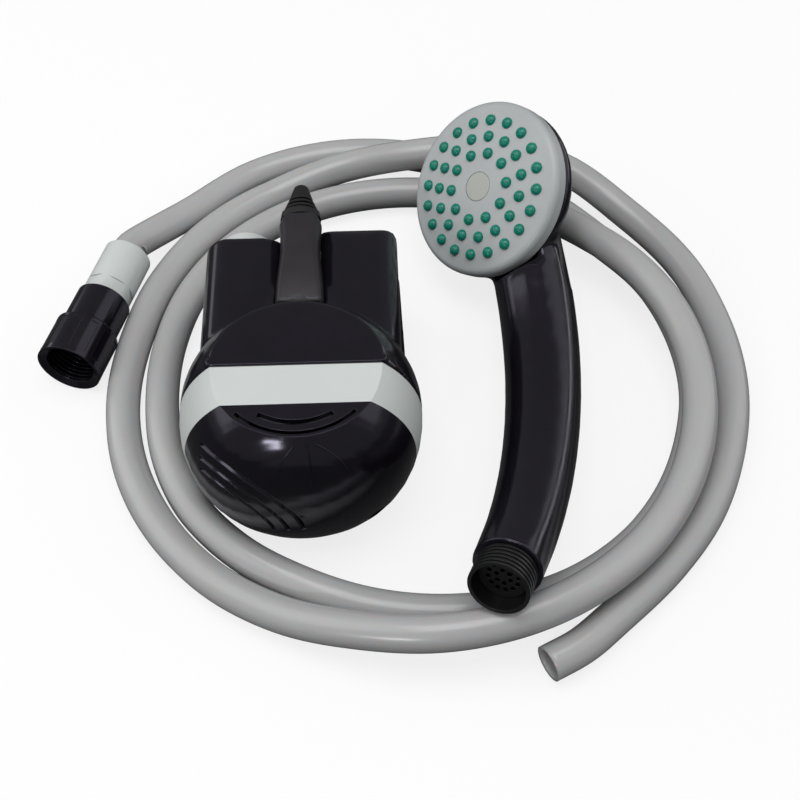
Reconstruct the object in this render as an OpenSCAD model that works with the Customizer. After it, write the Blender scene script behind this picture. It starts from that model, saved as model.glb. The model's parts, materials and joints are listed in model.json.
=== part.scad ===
// Camp shower kit: battery pump, coiled hose with coupling, and hand shower.
// Millimetres, +Z up. The pump lies on its flat back: origin at the middle of
// the battery door's back face, +Y towards the outlet, +X to the right.

/* [Pump body] */
// Largest radius of the round body
body_r = 43; // [42:0.5:46]
// Widest section down to the base
body_low = 42.6; // [41:0.2:45]
// Widest section up to the top of the round body
body_high = 38; // [36:0.5:40]
// Thickness between the flat front and the flat back
body_t = 63.2; // [61:0.2:68]
// Wall of the moulded shells
shell_wall = 2.2; // [1.8:0.1:2.8]
// Widest section down to the upper edge of the belt
belt_drop = 2.4; // [2:0.2:3]
// Height of the light belt
belt_w = 16; // [15:0.2:17]
// Thickness of the gasket above the belt
gasket_t = 0.8; // [0.6:0.1:1.2]

/* [Intake] */
// Width of the water slots in the intake cover
slot_w = 2; // [1.4:0.1:2.6]
// Slots in the swirl on the lower left of the cover
swirl_slots = 3; // [2:1:3]
// Diameter of the screws that hold the intake cover
cover_screw_d = 3; // [2.5:0.1:3.5]

/* [Batteries] */
// Diameter of a cell
cell_d = 34.2; // [33:0.1:34.6]
// Length of a cell
cell_l = 61.5; // [60:0.5:64]
// Wall of a battery lobe round its cell
lobe_wall = 1.2; // [1:0.1:2]
// Thickness of the contact plates at the ends of a cell
contact_t = 1.2; // [0.8:0.1:2]
// How far the rear case flares out past the lobes at its foot, on each side
case_flare = 2.5; // [1:0.1:4]
// Thickness of the battery door
door_t = 3; // [2.6:0.1:4]
// Thickness of the door gasket
door_gasket_t = 1; // [0.8:0.1:1.4]

/* [Motor and impeller] */
// Diameter of the motor can
motor_d = 24; // [20:0.5:26]
// Length of the motor with its end bell
motor_l = 18; // [16:0.5:19]
// Diameter of the motor shaft
shaft_d = 2.3; // [2:0.1:3.2]
// Diameter of the impeller
impeller_d = 28; // [24:0.5:30]
// Height of the impeller blades
blade_h = 6; // [4:0.5:7]
// Number of impeller blades
blades = 6; // [4:1:8]

/* [Outlet] */
// Largest diameter of the outlet neck
neck_d = 17.6; // [16:0.2:18]
// Diameter of the neck at its waist
waist_d = 15; // [13.4:0.2:16]
// Length of the outlet neck
neck_l = 43; // [42:0.5:48]
// Diameter of the ribbed collar above the neck
collar_d = 15.4; // [14:0.2:18]
// Diameter of the rings on the hose barb
barb_ring_d = 10.4; // [9.8:0.2:12]
// Diameter at the very tip of the barb
barb_tip_d = 5.8; // [5.6:0.1:7]
// Water bore through the riser, neck and barb
water_bore_d = 4; // [3:0.1:4.6]

/* [Power button] */
// Diameter of the power button
button_d = 21; // [18:0.5:21]
// How far the button presses in
button_travel = 1.6; // [1:0.1:2.2]

/* [Hose] */
// Outside diameter of the hose
hose_od = 13; // [12:0.1:13]
// Bore of the hose
hose_id = 9.8; // [8:0.1:10.4]

/* [Coupling] */
// Outside diameter of the coupling nut
nut_d = 25.2; // [24:0.1:26]
// Length of the wide ribbed stage of the nut
nut_wide_l = 19; // [17:0.5:22]
// Length of the narrow stage of the nut
nut_narrow_l = 16; // [13:0.5:18]
// Length of hose tail that shows behind the nut
tail_l = 25.5; // [20:0.5:28]
// Outside diameter of the hose tail
tail_d = 19.4; // [18.4:0.1:19.8]

/* [Hand shower] */
// Diameter of the spray face
face_d = 69.8; // [67:0.2:72]
// Height of the spray face's rim
face_h = 6.5; // [5.5:0.1:8]
// Depth of the head behind the spray face
bowl_depth = 21; // [19:0.5:24]
// Diameter of the handle where it meets the head
handle_top_d = 31; // [28:0.5:32]
// Diameter of the handle at the threaded end
handle_end_d = 24.6; // [24:0.2:26]
// Length of the handle along its curve
handle_l = 176; // [172:0.5:179]
// Radius of the handle's curve
handle_bend_r = 200; // [196:1:206]
// Length of the threaded inlet
thread_l = 14; // [11:0.5:15]
// Diameter of a spray nub
nub_d = 4.6; // [3.6:0.1:4.8]
// How far a nub stands out of the face
nub_h = 1.8; // [1:0.1:2.6]

/* [Hidden] */

$fn = 64;

// General clearances: a loose seat, a running shaft, a pressed piece, parts of different bodies
seat = 0.2;
run = 0.05;
press = 0.02;
apart = 0.3;
// Reach of a cut past the face that it opens
over = 1;
// Half the side of a slab that is larger than the pump
wide = 120;

// Heights and levels of the pump: axis height, then stations along Y
axis_z = body_t / 2;
body_full = 2 / 2.3;
belt_top = -belt_drop;
belt_low = belt_top - belt_w;
housing_low = belt_top + gasket_t;
plate_t = 3;
plate_drop = 3.4;
plate_high = belt_low - plate_drop;
plate_low = plate_high - plate_t;
motor_top = plate_high + motor_l;
can_wall = 1;
can_floor_t = 1.4;
bell_t = 3;
bell_end_t = 1;
coil_gap = 1.8;
coil_low = plate_high + can_floor_t + coil_gap;
coil_l = motor_l - can_floor_t - bell_t - 2 * coil_gap;
magnet_t = 2.6;
air_gap = 0.8;
magnet_space = 4;
bulkhead_t = 2;
bay_low = housing_low + bulkhead_t;
bay_high = bay_low + cell_l + 2 * contact_t + seat;
bay_r = cell_d / 2 + seat;
contact_d = 0.76 * cell_d;
lobe_r = bay_r + lobe_wall;
lobe_x = bay_r + lobe_wall / 2;
lobe_corner = 10;
lobe_half_w = lobe_x + lobe_r;
lobe_roof = 1.6;
switch_t = 0.8;
button_sink = 0.8;
pocket_depth = switch_t + apart + button_travel + button_sink;
left_top = bay_high + lobe_roof + pocket_depth;
right_top = left_top + 5;
left_edge = 1.4;
right_edge = 6;

// Web between the lobes: height above the axis near the neck's foot, and its fall to the top
web_high = lobe_r - 0.1;
web_fall = 4.4;
web_top = left_top - 1.5;

// Outlet stations: the neck rests in the valley between the two lobes
neck_r = neck_d / 2;
neck_lift = 1.2;
neck_z = axis_z + lobe_r + neck_lift;
riser_wall = 2;
riser_d = water_bore_d + 2 * riser_wall;
neck_low = 33;
washer_t = 0.8;
neck_high = neck_low + neck_l;
neck_edge = 2.5;
neck_foot = 4;
neck_flat = 5;
foot_edge = 4;
neck_step = 0.8;
riser_plug = 3;
barb_pitch = 1.7;
barb_ring_l = 1.1;
barb_step = 1.2;
barb_rings = 4;
barb_tip_l = 10.3;

// Button place on the left lobe
button_x = -lobe_x - 3.6;
button_z = axis_z + 5;
button_rise = 6.4;

// Screws of the intake cover, both on the hidden back half
cover_screw_x = 26;
cover_screw_z = axis_z - 15;
boss_d = cover_screw_d + 4;
screw_head_d = 2 * cover_screw_d;
screw_head_t = 0.8 * cover_screw_d;
cover_head_y = belt_low - 5;
screw_bite = 1.6;

// Water slots: one on the front face, rings on the lower left
slot_start = 15;
front_slot_y = -2.5;
front_slot_r = 23.4;
front_slot_sweep = 64;
front_groove_r = front_slot_r + 4.1;
front_groove_sweep = 92;
groove_w = 0.65 * slot_w;
swirl_heading = 226;
swirl_dip = 16;
swirl_r = 29.5;
swirl_pitch = 4;
swirl_from = 88;
swirl_sweep = 104;

// Pump chamber under the plate
seal_t = 1.2;
impeller_gap = 0.8;
impeller_high = plate_low - seal_t - impeller_gap;
disc_t = 1.2;
blade_t = 1.2;
impeller_low = impeller_high - disc_t - blade_h;
volute_r = impeller_d / 2 + 1.6;
volute_wall = 1.8;
volute_floor = impeller_low - impeller_gap;
inlet_d = 15;
filter_t = 1.2;
volute_floor_t = 1.2;
channel_t = 9;
channel_wall = 1;

// Rear door, and its screws above the batteries
bay_half_w = lobe_x + bay_r;
door_lip = 0.9;
door_w = 2 * (bay_half_w + door_lip);
door_low = bay_low - door_lip;
door_screw_d = 2;
door_tab = 1.1 * door_screw_d;
door_screw_y = bay_high + door_screw_d;
door_high = door_screw_y + door_tab;
door_corner = 1.5;
door_screw_l = 9;

// Rear case behind the lobes, wider at its foot
case_h = 24;
case_low = housing_low;
case_high = door_high + seat + 0.6;
case_top_w = 2 * lobe_half_w + 1.6;
case_foot_w = 2 * (lobe_half_w + case_flare);

// Station of the origin: middle of the door, without the strip that holds its screws
origin_y = (door_low + door_high - door_tab) / 2;

// Straight pipe thread of half-inch fittings: major and minor radius, pitch
thread_r = 20.955 / 2;
thread_core_r = 18.631 / 2;
thread_pitch = 1.814;

// Coupling: middle of the nut's mouth on the floor, and its heading
nut_r = nut_d / 2;
nut_mouth = [-91.4, 5, nut_r + 0.2];
nut_heading = -17;
nut_step_d = nut_d - 3.4;
nut_l = nut_wide_l + nut_narrow_l;
nut_edge = 1;
nut_flutes = 12;
flute_w = 3.4;
flute_depth = 0.35;
flute_end = 2.5;
nut_lip_t = 2;
nut_bore_l = 15;
washer_ring_t = 2;
washer_low = nut_bore_l + apart;
tail_neck_low = washer_low + washer_ring_t;
tail_neck_d = 15;
tail_bore_d = 8;
tail_edge = 0.6;
tail_flats = 6;
tail_flat_l = 6;
tail_flat_depth = 0.8;
clip_d = 17.4;
clip_t = 3;

// Coil: middle of the loops, then radius and axis height every 15 degrees
hose_r = hose_od / 2;
coil_mid = [46, -5.5];
coil_start = 135;
coil_step = 15;
coil_points = [
  [136.8, 8], [139.2, 6.5], [136.5, 6.5], [130, 6.5], [120.4, 6.5], [113.5, 6.5],
  [108, 6.5], [107.6, 6.5], [106, 6.5], [104.5, 6.5], [102.4, 6.5], [101.2, 6.5],
  [100, 6.5], [98.5, 6.5], [96.5, 6.5], [95, 6.5], [94.5, 6.5], [95, 6.5],
  [97.6, 6.5], [100.1, 6.5], [100.9, 6.5], [101.5, 6.5], [103.7, 6.5], [106.8, 6.5],
  [108.8, 6.5], [109.3, 6.5], [108.5, 6.5], [107.2, 6.5], [105.5, 7.4], [101.1, 13.1],
  [97.5, 18.5], [99, 20], [100.8, 20], [101.8, 20], [102.7, 20], [104, 20],
  [105.5, 20], [106.5, 20], [107.6, 20], [108.4, 19], [107.6, 14], [108.8, 8],
  [111.6, 6.5], [113.8, 6.5], [115.4, 6.5], [116.4, 6.5], [117.6, 6.5], [120.7, 6.5],
  [123.2, 6.5], [123.8, 6.5], [122.8, 11], [118.8, 18], [121, 21], [127.5, 16],
  [127.3, 8], [125.3, 6.5], [121.4, 6.5], [118.5, 6.5], [116, 6.5], [114.8, 6.5],
  [114, 6.5], [116, 6.5]
];
hose_end = [[93, -114.5, 6.5], [81.5, -120.5, 6.5]];
ring_sides = 10;
gap_steps = 6;

// Hand shower: where the handle's lower end lies, and how the shower is turned
shower_pos = [69, -96.1, 33.6];
shower_turn = [-5.8, 0, -9.6];
shower_roll = -44.1;
handle_start_angle = -18.7;
handle_rings = 14;
handle_sides = 24;
handle_wall = 2.6;
bowl_angle = handle_start_angle + handle_l / handle_bend_r * 180 / PI;
head_tilt = 32.8;
bowl_r = face_d / 2 - 0.4;
bowl_rim_h = 6;
head_room_r = face_d / 2 + 1.2;
bowl_steps = 12;
head_rise = 12.5;
nub_rings = [10, 15, 20];
nub_ring_step = face_d * 0.0958;
nub_turns = [85.6, 80.6, 77.3];
nub_tip_h = 1;
mat_t = 1.6;
plate_face_t = 1.8;
seal_ring_t = 0.8;
face_edge = 2.5;
face_flat_r = face_d / 2 - face_edge;
face_crown = 3;
crown_steps = 8;
face_top = seal_ring_t + face_h;
mat_low = face_top - plate_face_t - mat_t;
water_plate_t = 1.6;
cap_d = 11.6;
cap_h = 0.6;
cap_pin_r = 1.5;
spigot_plug_l = 8;
inlet_bore_d = 14.6;
inlet_mouth_d = 17;
filter_depth = 7;

// Shared shapes

// Puts a pump piece, drawn from the round body's widest section, on the door's middle
module on_pump() translate([0, -origin_y, 0]) children();

// Stands a shape that was drawn along Z on the pump axis, along Y
module along_y(x = 0, z = axis_z) translate([x, 0, z]) rotate([-90, 0, 0]) children();

module tube(r, bore, l, low = 0) translate([0, 0, low]) difference() {
  cylinder(r = r, h = l);
  translate([0, 0, -over]) cylinder(r = bore, h = l + 2 * over);
}

module rounded_plate(w, l, t, corner) linear_extrude(t) {
  square([w - 2 * corner, l], center = true);
  square([w, l - 2 * corner], center = true);
  for (sx = [-1, 1], sy = [-1, 1]) translate([sx * (w / 2 - corner), sy * (l / 2 - corner)]) circle(corner);
}

// Everything between two stations along Y
module slab(low, high) translate([-wide, low, -wide]) cube([2 * wide, high - low, 2 * wide]);

// Round body: a full lower half and an elliptic upper one spun about the axis, cut flat front and back
module round_body(inset = 0) intersection() {
  along_y() rotate_extrude() polygon(concat(
    [for (t = [-90 : 7.5 : 0])
      [(body_r - inset) * pow(cos(t), body_full), -(body_low - inset) * pow(-sin(t), body_full)]],
    [for (t = [7.5 : 7.5 : 90]) [(body_r - inset) * cos(t), (body_high - inset) * sin(t)]]));
  translate([-wide, -wide, inset]) cube([2 * wide, 2 * wide, body_t - 2 * inset]);
}

module shell_slice(low, high, inset = 0) difference() {
  intersection() {
    round_body(inset);
    slab(low, high);
  }
  round_body(shell_wall);
}

// Pump housing

// Section of a lobe: round towards the neck, a rounded square on its outer side
module lobe_section(side) {
  inner = lobe_r - lobe_corner;
  circle(lobe_r);
  translate([side * inner / 2, 0]) square([inner, 2 * lobe_r], center = true);
  translate([side * lobe_r / 2, 0]) square([lobe_r, 2 * inner], center = true);
  for (s = [-1, 1]) translate([side * inner, s * inner]) circle(lobe_corner);
}

// Battery lobe: its section drawn along Y, with a rounded front edge at its top
module lobe(x, top, edge) intersection() {
  along_y(x) linear_extrude(top) lobe_section(sign(x));
  translate([x - lobe_r - over, 0, axis_z]) rotate([90, 0, 90]) linear_extrude(2 * (lobe_r + over)) {
    translate([-over, -lobe_r - over]) square([top + over, 2 * lobe_r + over - edge]);
    translate([-over, 0]) square([top + over - edge, lobe_r + over]);
    translate([top - edge, lobe_r - edge]) circle(edge);
  }
}

// Web in the valley between the lobes, falling gently towards the outlet
module valley_web() translate([-lobe_x, 0, axis_z]) rotate([90, 0, 90]) linear_extrude(2 * lobe_x)
  polygon([[0, 0], [0, web_high], [neck_low, web_high], [web_top, web_high - web_fall], [web_top, 0]]);

module battery_bay(x) {
  translate([x, bay_low, 0]) along_y() cylinder(r = bay_r, h = bay_high - bay_low);
  translate([x - bay_r, bay_low, door_t]) cube([2 * bay_r, bay_high - bay_low, axis_z - door_t]);
}

module rear_case() linear_extrude(case_h) polygon([
  [-case_foot_w / 2, case_low], [case_foot_w / 2, case_low],
  [case_top_w / 2, case_high], [-case_top_w / 2, case_high]]);

module door_outline(margin, t) translate([0, (door_low + door_high) / 2, 0])
  rounded_plate(door_w + 2 * margin, door_high - door_low + 2 * margin, t, door_corner + margin);

module door_screw_set() for (s = [-1, 1]) translate([s * lobe_x, door_screw_y, 0]) children();

module cover_screw_row() for (s = [-1, 1]) along_y(s * cover_screw_x, cover_screw_z) children();

// Screw post with a rib that ties it to the shell
module screw_posts(low, high) intersection() {
  round_body(shell_wall / 2);
  for (s = [-1, 1]) {
    along_y(s * cover_screw_x, cover_screw_z) translate([0, 0, low]) cylinder(d = boss_d, h = high - low);
    translate([s * (cover_screw_x + body_r / 4) - body_r / 4, low, cover_screw_z - 1])
      cube([body_r / 2, high - low, 2]);
  }
}

module upper_housing() color("#1c1b20") on_pump() difference() {
  union() {
    intersection() {
      round_body();
      slab(housing_low, body_high);
    }
    lobe(-lobe_x, left_top, left_edge);
    lobe(lobe_x, right_top, right_edge);
    valley_web();
    rear_case();
  }
  cover_screw_row() translate([0, 0, housing_low - over]) cylinder(d = cover_screw_d, h = screw_bite + over);
  for (s = [-1, 1]) battery_bay(s * lobe_x);
  translate([0, 0, -over]) door_outline(seat, door_t + door_gasket_t + over);
  along_y(0, neck_z) translate([0, 0, neck_low - washer_t]) cylinder(r = neck_r + apart / 2, h = wide);
  along_y(0, neck_z) translate([0, 0, housing_low - over])
    cylinder(d = riser_d + 2 * run, h = neck_low - housing_low + over);
  along_y(button_x, button_z) translate([0, 0, left_top - pocket_depth])
    cylinder(d = button_d + 2 * apart, h = pocket_depth + over);
  door_screw_set() cylinder(d = door_screw_d, h = door_screw_l + over);
}

module housing_gasket() color("#101012") on_pump() shell_slice(belt_top, housing_low, 0.4);

module belt_ring() color("#c5c9c8") on_pump() difference() {
  union() {
    shell_slice(belt_low, belt_top);
    screw_posts(belt_low, belt_top);
  }
  cover_screw_row() translate([0, 0, belt_low - over]) cylinder(d = cover_screw_d, h = belt_w + 2 * over);
}

// Part of a ring, cut through one side of a shell
module ring_slot(r, w, from, sweep) rotate([0, 0, from]) rotate_extrude(angle = sweep)
  translate([r - w / 2, slot_start]) square([w, wide]);

// Slot on the front face, with a narrower one outside it
module front_slots() translate([0, front_slot_y, axis_z]) {
  ring_slot(front_slot_r, slot_w, 270 - front_slot_sweep / 2, front_slot_sweep);
  ring_slot(front_groove_r, groove_w, 270 - front_groove_sweep / 2, front_groove_sweep);
}

// Arcs about a line that points to the lower left and down
module swirl_arcs() translate([0, 0, axis_z]) rotate([0, 90 + swirl_dip, swirl_heading])
  for (i = [0 : swirl_slots - 1]) ring_slot(swirl_r - i * swirl_pitch, groove_w, swirl_from, swirl_sweep);

module intake_cover() color("#1c1b20") on_pump() difference() {
  union() {
    shell_slice(-body_low, belt_low);
    intersection() {
      round_body(shell_wall / 2);
      cover_screw_row() translate([0, 0, -body_low]) cylinder(d = boss_d + 2, h = body_low + belt_low);
    }
  }
  intersection() {
    union() {
      front_slots();
      swirl_arcs();
    }
    slab(-body_low, belt_low - shell_wall);
  }
  cover_screw_row() translate([0, 0, -body_low]) cylinder(d = cover_screw_d, h = body_low);
  cover_screw_row() translate([0, 0, -body_low - over])
    cylinder(d = screw_head_d + 2 * seat, h = body_low + cover_head_y + over);
}

module cover_screws() color("#b8bcc0") on_pump() cover_screw_row() {
  translate([0, 0, cover_head_y - screw_head_t]) cylinder(d = screw_head_d, h = screw_head_t);
  translate([0, 0, cover_head_y])
    cylinder(d = cover_screw_d - 2 * run, h = housing_low + screw_bite - apart - cover_head_y);
}

// Pump chamber

module pump_plate() color("#3a3b40") on_pump() difference() {
  intersection() {
    round_body(shell_wall + seat);
    slab(plate_low, plate_high);
  }
  along_y() translate([0, 0, plate_low - over]) cylinder(d = shaft_d + 2 * run, h = plate_t + 2 * over);
  along_y(0, neck_z) translate([0, 0, plate_low - over])
    cylinder(d = riser_d + 2 * run, h = plate_t + 2 * over);
  cover_screw_row() translate([0, 0, plate_low - over]) cylinder(d = boss_d + 3, h = plate_t + 2 * over);
}

// Impeller chamber with a channel out to the riser
module volute() color("#4a4b50") on_pump() difference() {
  union() {
    along_y() translate([0, 0, volute_floor - volute_floor_t])
      cylinder(r = volute_r + volute_wall, h = plate_low - volute_floor + volute_floor_t);
    translate([-riser_d / 2 - channel_wall, plate_low - channel_t, axis_z])
      cube([riser_d + 2 * channel_wall, channel_t, neck_z + riser_d / 2 + channel_wall - axis_z]);
  }
  along_y() translate([0, 0, volute_floor]) cylinder(r = volute_r, h = wide);
  along_y() translate([0, 0, -body_low]) cylinder(d = inlet_d, h = body_low);
  translate([-riser_d / 2 + channel_wall, plate_low - channel_t + 1.5 * channel_wall, axis_z])
    cube([riser_d - 2 * channel_wall, channel_t, neck_z + riser_d / 2 - channel_wall - axis_z]);
}

module intake_filter() color("#8d9296") on_pump() along_y()
  translate([0, 0, volute_floor - volute_floor_t - filter_t]) difference() {
  cylinder(d = inlet_d + 5, h = filter_t);
  for (i = [1 : 2], j = [0 : 6 * i - 1]) rotate([0, 0, j * 60 / i]) translate([i * 3, 0, -over])
    cylinder(d = 1.6, h = filter_t + 2 * over, $fn = 16);
}

module impeller() color("#e4e4e0") on_pump() along_y() difference() {
  union() {
    translate([0, 0, impeller_high - disc_t]) cylinder(d = impeller_d, h = disc_t);
    translate([0, 0, impeller_low]) cylinder(d = 3 * shaft_d, h = impeller_high - impeller_low);
    for (i = [0 : blades - 1]) rotate([0, 0, i * 360 / blades])
      translate([shaft_d, -blade_t / 2, impeller_low])
        cube([impeller_d / 2 - shaft_d - blade_t / 3, blade_t, blade_h + disc_t / 2]);
  }
  translate([0, 0, impeller_low - over]) cylinder(d = shaft_d + 2 * press, h = wide);
}

module shaft_seal() color("#202022") on_pump() along_y()
  tube(2.6 * shaft_d / 2, shaft_d / 2 + run, seal_t, plate_low - seal_t);

module motor_shaft() color("#c9ccd0") on_pump() along_y()
  translate([0, 0, impeller_low]) cylinder(d = shaft_d, h = motor_top - bell_end_t - seat - impeller_low);

module motor_armature() color("#a05a2c") on_pump() along_y()
  tube(motor_d / 2 - can_wall - magnet_t - air_gap, shaft_d / 2 + press, coil_l, coil_low);

module motor_magnets() color("#4b4540") on_pump() along_y() difference() {
  tube(motor_d / 2 - can_wall - run, motor_d / 2 - can_wall - magnet_t, coil_l, coil_low);
  translate([-magnet_space / 2, -wide, -wide]) cube([magnet_space, 2 * wide, 2 * wide]);
}

module motor_can() color("#b9bdc2") on_pump() along_y() difference() {
  translate([0, 0, plate_high]) cylinder(d = motor_d, h = motor_l - bell_t);
  translate([0, 0, plate_high + can_floor_t]) cylinder(d = motor_d - 2 * can_wall, h = motor_l);
  translate([0, 0, plate_high - over]) cylinder(d = shaft_d + 2 * run, h = motor_l);
}

module motor_end_bell() color("#e8e6dc") on_pump() along_y() difference() {
  translate([0, 0, motor_top - bell_t]) cylinder(d = motor_d, h = bell_t);
  translate([0, 0, motor_top - bell_t - over])
    cylinder(d = shaft_d + 2 * run, h = bell_t - bell_end_t + over);
}

// Outlet

module riser_tube() color("#2a2a2e") on_pump() along_y(0, neck_z)
  tube(riser_d / 2, water_bore_d / 2, neck_low + riser_plug - plate_low, plate_low);

module neck_washer() color("#151517") on_pump() along_y(0, neck_z)
  tube(neck_r - 0.4, riser_d / 2 + run, washer_t, neck_low - washer_t);

// Side view of the neck: flat in front, with a rounded edge at its foot
module neck_side() translate([-neck_d, neck_low, neck_z]) rotate([90, 0, 90]) linear_extrude(2 * neck_d) {
  translate([-over, -neck_d]) square([neck_l + 2 * over, neck_d + neck_flat - foot_edge]);
  translate([foot_edge, -neck_d]) square([neck_l, neck_d + neck_flat]);
  translate([foot_edge, neck_flat - foot_edge]) circle(foot_edge);
}

// Bottle-shaped neck: full at the base, drawn in at the waist, shouldered at the top
module outlet_neck() color("#26252b") on_pump() difference() {
  intersection() {
    along_y(0, neck_z) translate([0, 0, neck_low]) rotate_extrude() polygon(concat(
      [[0, 0]],
      [for (t = [-90 : 22.5 : 0]) [neck_r - neck_edge + neck_edge * cos(t), neck_edge + neck_edge * sin(t)]],
      [for (i = [1 : 12]) [
        neck_r - (neck_d - waist_d) / 2 * (0.5 - 0.5 * cos(i * 22)),
        neck_foot + (neck_l - 2 * neck_foot) * i / 12]],
      [[collar_d / 2 - neck_step, neck_l], [0, neck_l]]));
    neck_side();
  }
  along_y(0, neck_z) translate([0, 0, neck_low - over])
    cylinder(d = riser_d + 2 * run, h = riser_plug + seat + over);
  along_y(0, neck_z) cylinder(d = water_bore_d, h = wide);
}

module hose_barb() color("#17161a") on_pump() along_y(0, neck_z) translate([0, 0, neck_high]) difference() {
  union() {
    for (i = [0 : barb_rings - 1]) {
      d = collar_d + (barb_ring_d - collar_d) * i / (barb_rings - 1);
      translate([0, 0, i * barb_pitch]) cylinder(d = d - barb_step, h = barb_pitch);
      translate([0, 0, i * barb_pitch]) cylinder(d1 = d, d2 = d - barb_step / 2, h = barb_ring_l);
    }
    translate([0, 0, barb_rings * barb_pitch - over])
      cylinder(d1 = barb_ring_d - barb_step, d2 = barb_tip_d, h = barb_tip_l);
  }
  translate([0, 0, -over]) cylinder(d = water_bore_d, h = wide);
  translate([-collar_d, -collar_d - neck_flat, -over])
    cube([2 * collar_d, collar_d, barb_rings * barb_pitch]);
}

// Power switch on the left lobe

module power_button() color("#c5c9c8") on_pump() along_y(button_x, button_z)
  translate([0, 0, left_top - button_sink]) rotate_extrude() polygon(concat(
  [[0, 0], [button_d / 2 - 0.6, 0], [button_d / 2, 0.6], [button_d / 2, button_rise - 1.2]],
  [for (t = [15 : 15 : 90]) [button_d / 2 - 1.2 + 1.2 * cos(t), button_rise - 1.2 + 1.2 * sin(t)]],
  [[0, button_rise + 0.5]]));

module button_seal() color("#151517") on_pump() along_y(button_x, button_z)
  tube(button_d / 2 + apart - run, button_d / 2 - 3, switch_t, left_top - pocket_depth);

module power_switch() color("#2b2b30") on_pump() along_y(button_x, button_z)
  translate([0, 0, left_top - pocket_depth]) cylinder(d = button_d - 7, h = switch_t);

// Batteries and contacts

module cell(x) along_y(x) {
  translate([0, 0, bay_low + contact_t]) cylinder(d = cell_d, h = cell_l - 1.5);
  translate([0, 0, bay_low + contact_t]) cylinder(d = 9.5, h = cell_l);
}

module left_cell() color("#b89b4a") on_pump() cell(-lobe_x);

module right_cell() color("#b89b4a") on_pump() cell(lobe_x);

module contact_pair(low) for (s = [-1, 1]) along_y(s * lobe_x) translate([0, 0, low])
  cylinder(d = contact_d, h = contact_t);

module lower_contacts() color("#cfc9a8") on_pump() contact_pair(bay_low);

module upper_contacts() color("#cfc9a8") on_pump() contact_pair(bay_high - contact_t);

// Rear door

module battery_door() color("#1c1b20") on_pump() difference() {
  door_outline(0, door_t);
  door_screw_set() translate([0, 0, -over]) {
    cylinder(d = door_screw_d + 2 * run, h = door_t + 2 * over);
    cylinder(d = 1.8 * door_screw_d + 2 * run, h = over + 1.6);
  }
}

module door_gasket() color("#101012") on_pump() translate([0, 0, door_t]) difference() {
  door_outline(0, door_gasket_t);
  translate([-bay_half_w, bay_low, -over])
    cube([2 * bay_half_w, bay_high - bay_low, door_gasket_t + 2 * over]);
  door_screw_set() translate([0, 0, -over]) cylinder(d = door_screw_d + 2 * run, h = door_screw_l);
}

module door_screws() color("#b8bcc0") on_pump() door_screw_set() translate([0, 0, seat]) {
  cylinder(d = 1.8 * door_screw_d, h = 1.4);
  cylinder(d = door_screw_d - 2 * run, h = door_screw_l);
}

// Hose and coupling

nut_dir = [-sin(nut_heading), cos(nut_heading), 0];
tail_end = nut_mouth + (nut_l + tail_l) * nut_dir;

function coil_point(i) = let (a = coil_start - i * coil_step, p = coil_points[i])
  [coil_mid[0] + p[0] * cos(a), coil_mid[1] + p[0] * sin(a), p[1]];

hose_route = concat(
  [tail_end, tail_end + hose_r * nut_dir],
  [for (i = [0 : len(coil_points) - 1]) coil_point(i)],
  hose_end);

function unit(v) = v / norm(v);

// Direction of the route at point i, straight at both ends
function heading(p, i) = let (n = len(p) - 1)
  i == 0 ? unit(p[1] - p[0])
  : i == n ? unit(p[n] - p[n - 1])
  : unit(unit(p[i + 1] - p[i]) + unit(p[i] - p[i - 1]));

// One ring of points round the route, square to it
function ring(p, i, r, sides) = let (d = heading(p, i), side = unit(cross(d, [0, 0, 1])), up = cross(side, d))
  [for (k = [0 : sides - 1]) p[i] + r * (cos(k * 360 / sides) * side + sin(k * 360 / sides) * up)];

// Triangles between two rings of a swept wall; outward or, for a bore, inward
function wall_faces(first, rings, sides, inward) = [
  for (i = [0 : rings - 2], k = [0 : sides - 1], half = [0, 1])
    let (a = first + i * sides + k, b = first + i * sides + (k + 1) % sides, c = a + sides, d = b + sides,
      f = half == 0 ? [a, b, d] : [a, d, c])
    inward ? [f[2], f[1], f[0]] : f];

// Ring of triangles that closes one end between the outer wall and the bore
function end_faces(outer, inner, sides, flip) = [
  for (k = [0 : sides - 1], half = [0, 1])
    let (
      n = (k + 1) % sides,
      f = half == 0 ? [outer + k, inner + k, inner + n] : [outer + k, inner + n, outer + n])
    flip ? [f[2], f[1], f[0]] : f];

// Tube with a bore, swept along a route
module swept_tube(p, r, bore, sides) {
  n = len(p);
  inner = n * sides;
  points = [for (radius = [r, bore], i = [0 : n - 1]) each ring(p, i, radius, sides)];
  polyhedron(points, concat(
    wall_faces(0, n, sides, false), wall_faces(inner, n, sides, true),
    end_faces(0, inner, sides, false), end_faces((n - 1) * sides, inner + (n - 1) * sides, sides, true)));
}

// Route cut into short steps, to measure how near the loops come to each other
function fine_route(p, steps) =
  [for (i = [0 : len(p) - 2], k = [0 : steps - 1]) p[i] + (p[i + 1] - p[i]) * k / steps];

function least_gap(p, apart_by) =
  min([for (i = [0 : len(p) - 1 - apart_by], j = [i + apart_by : len(p) - 1]) norm(p[i] - p[j])]);

function route_length(p) =
  [for (i = [0 : len(p) - 2]) norm(p[i + 1] - p[i])] * [for (i = [0 : len(p) - 2]) 1];

module hose() color("#b0b2b4") {
  echo(
    hose_length = route_length(hose_route),
    least_gap = least_gap(fine_route(hose_route, gap_steps), 20) - hose_od);
  swept_tube(hose_route, hose_r, hose_id / 2, ring_sides);
}

// Stands a shape on the coupling's axis, Z along it from the nut's mouth
module on_coupling() translate(nut_mouth) rotate([-90, 0, nut_heading]) children();

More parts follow.
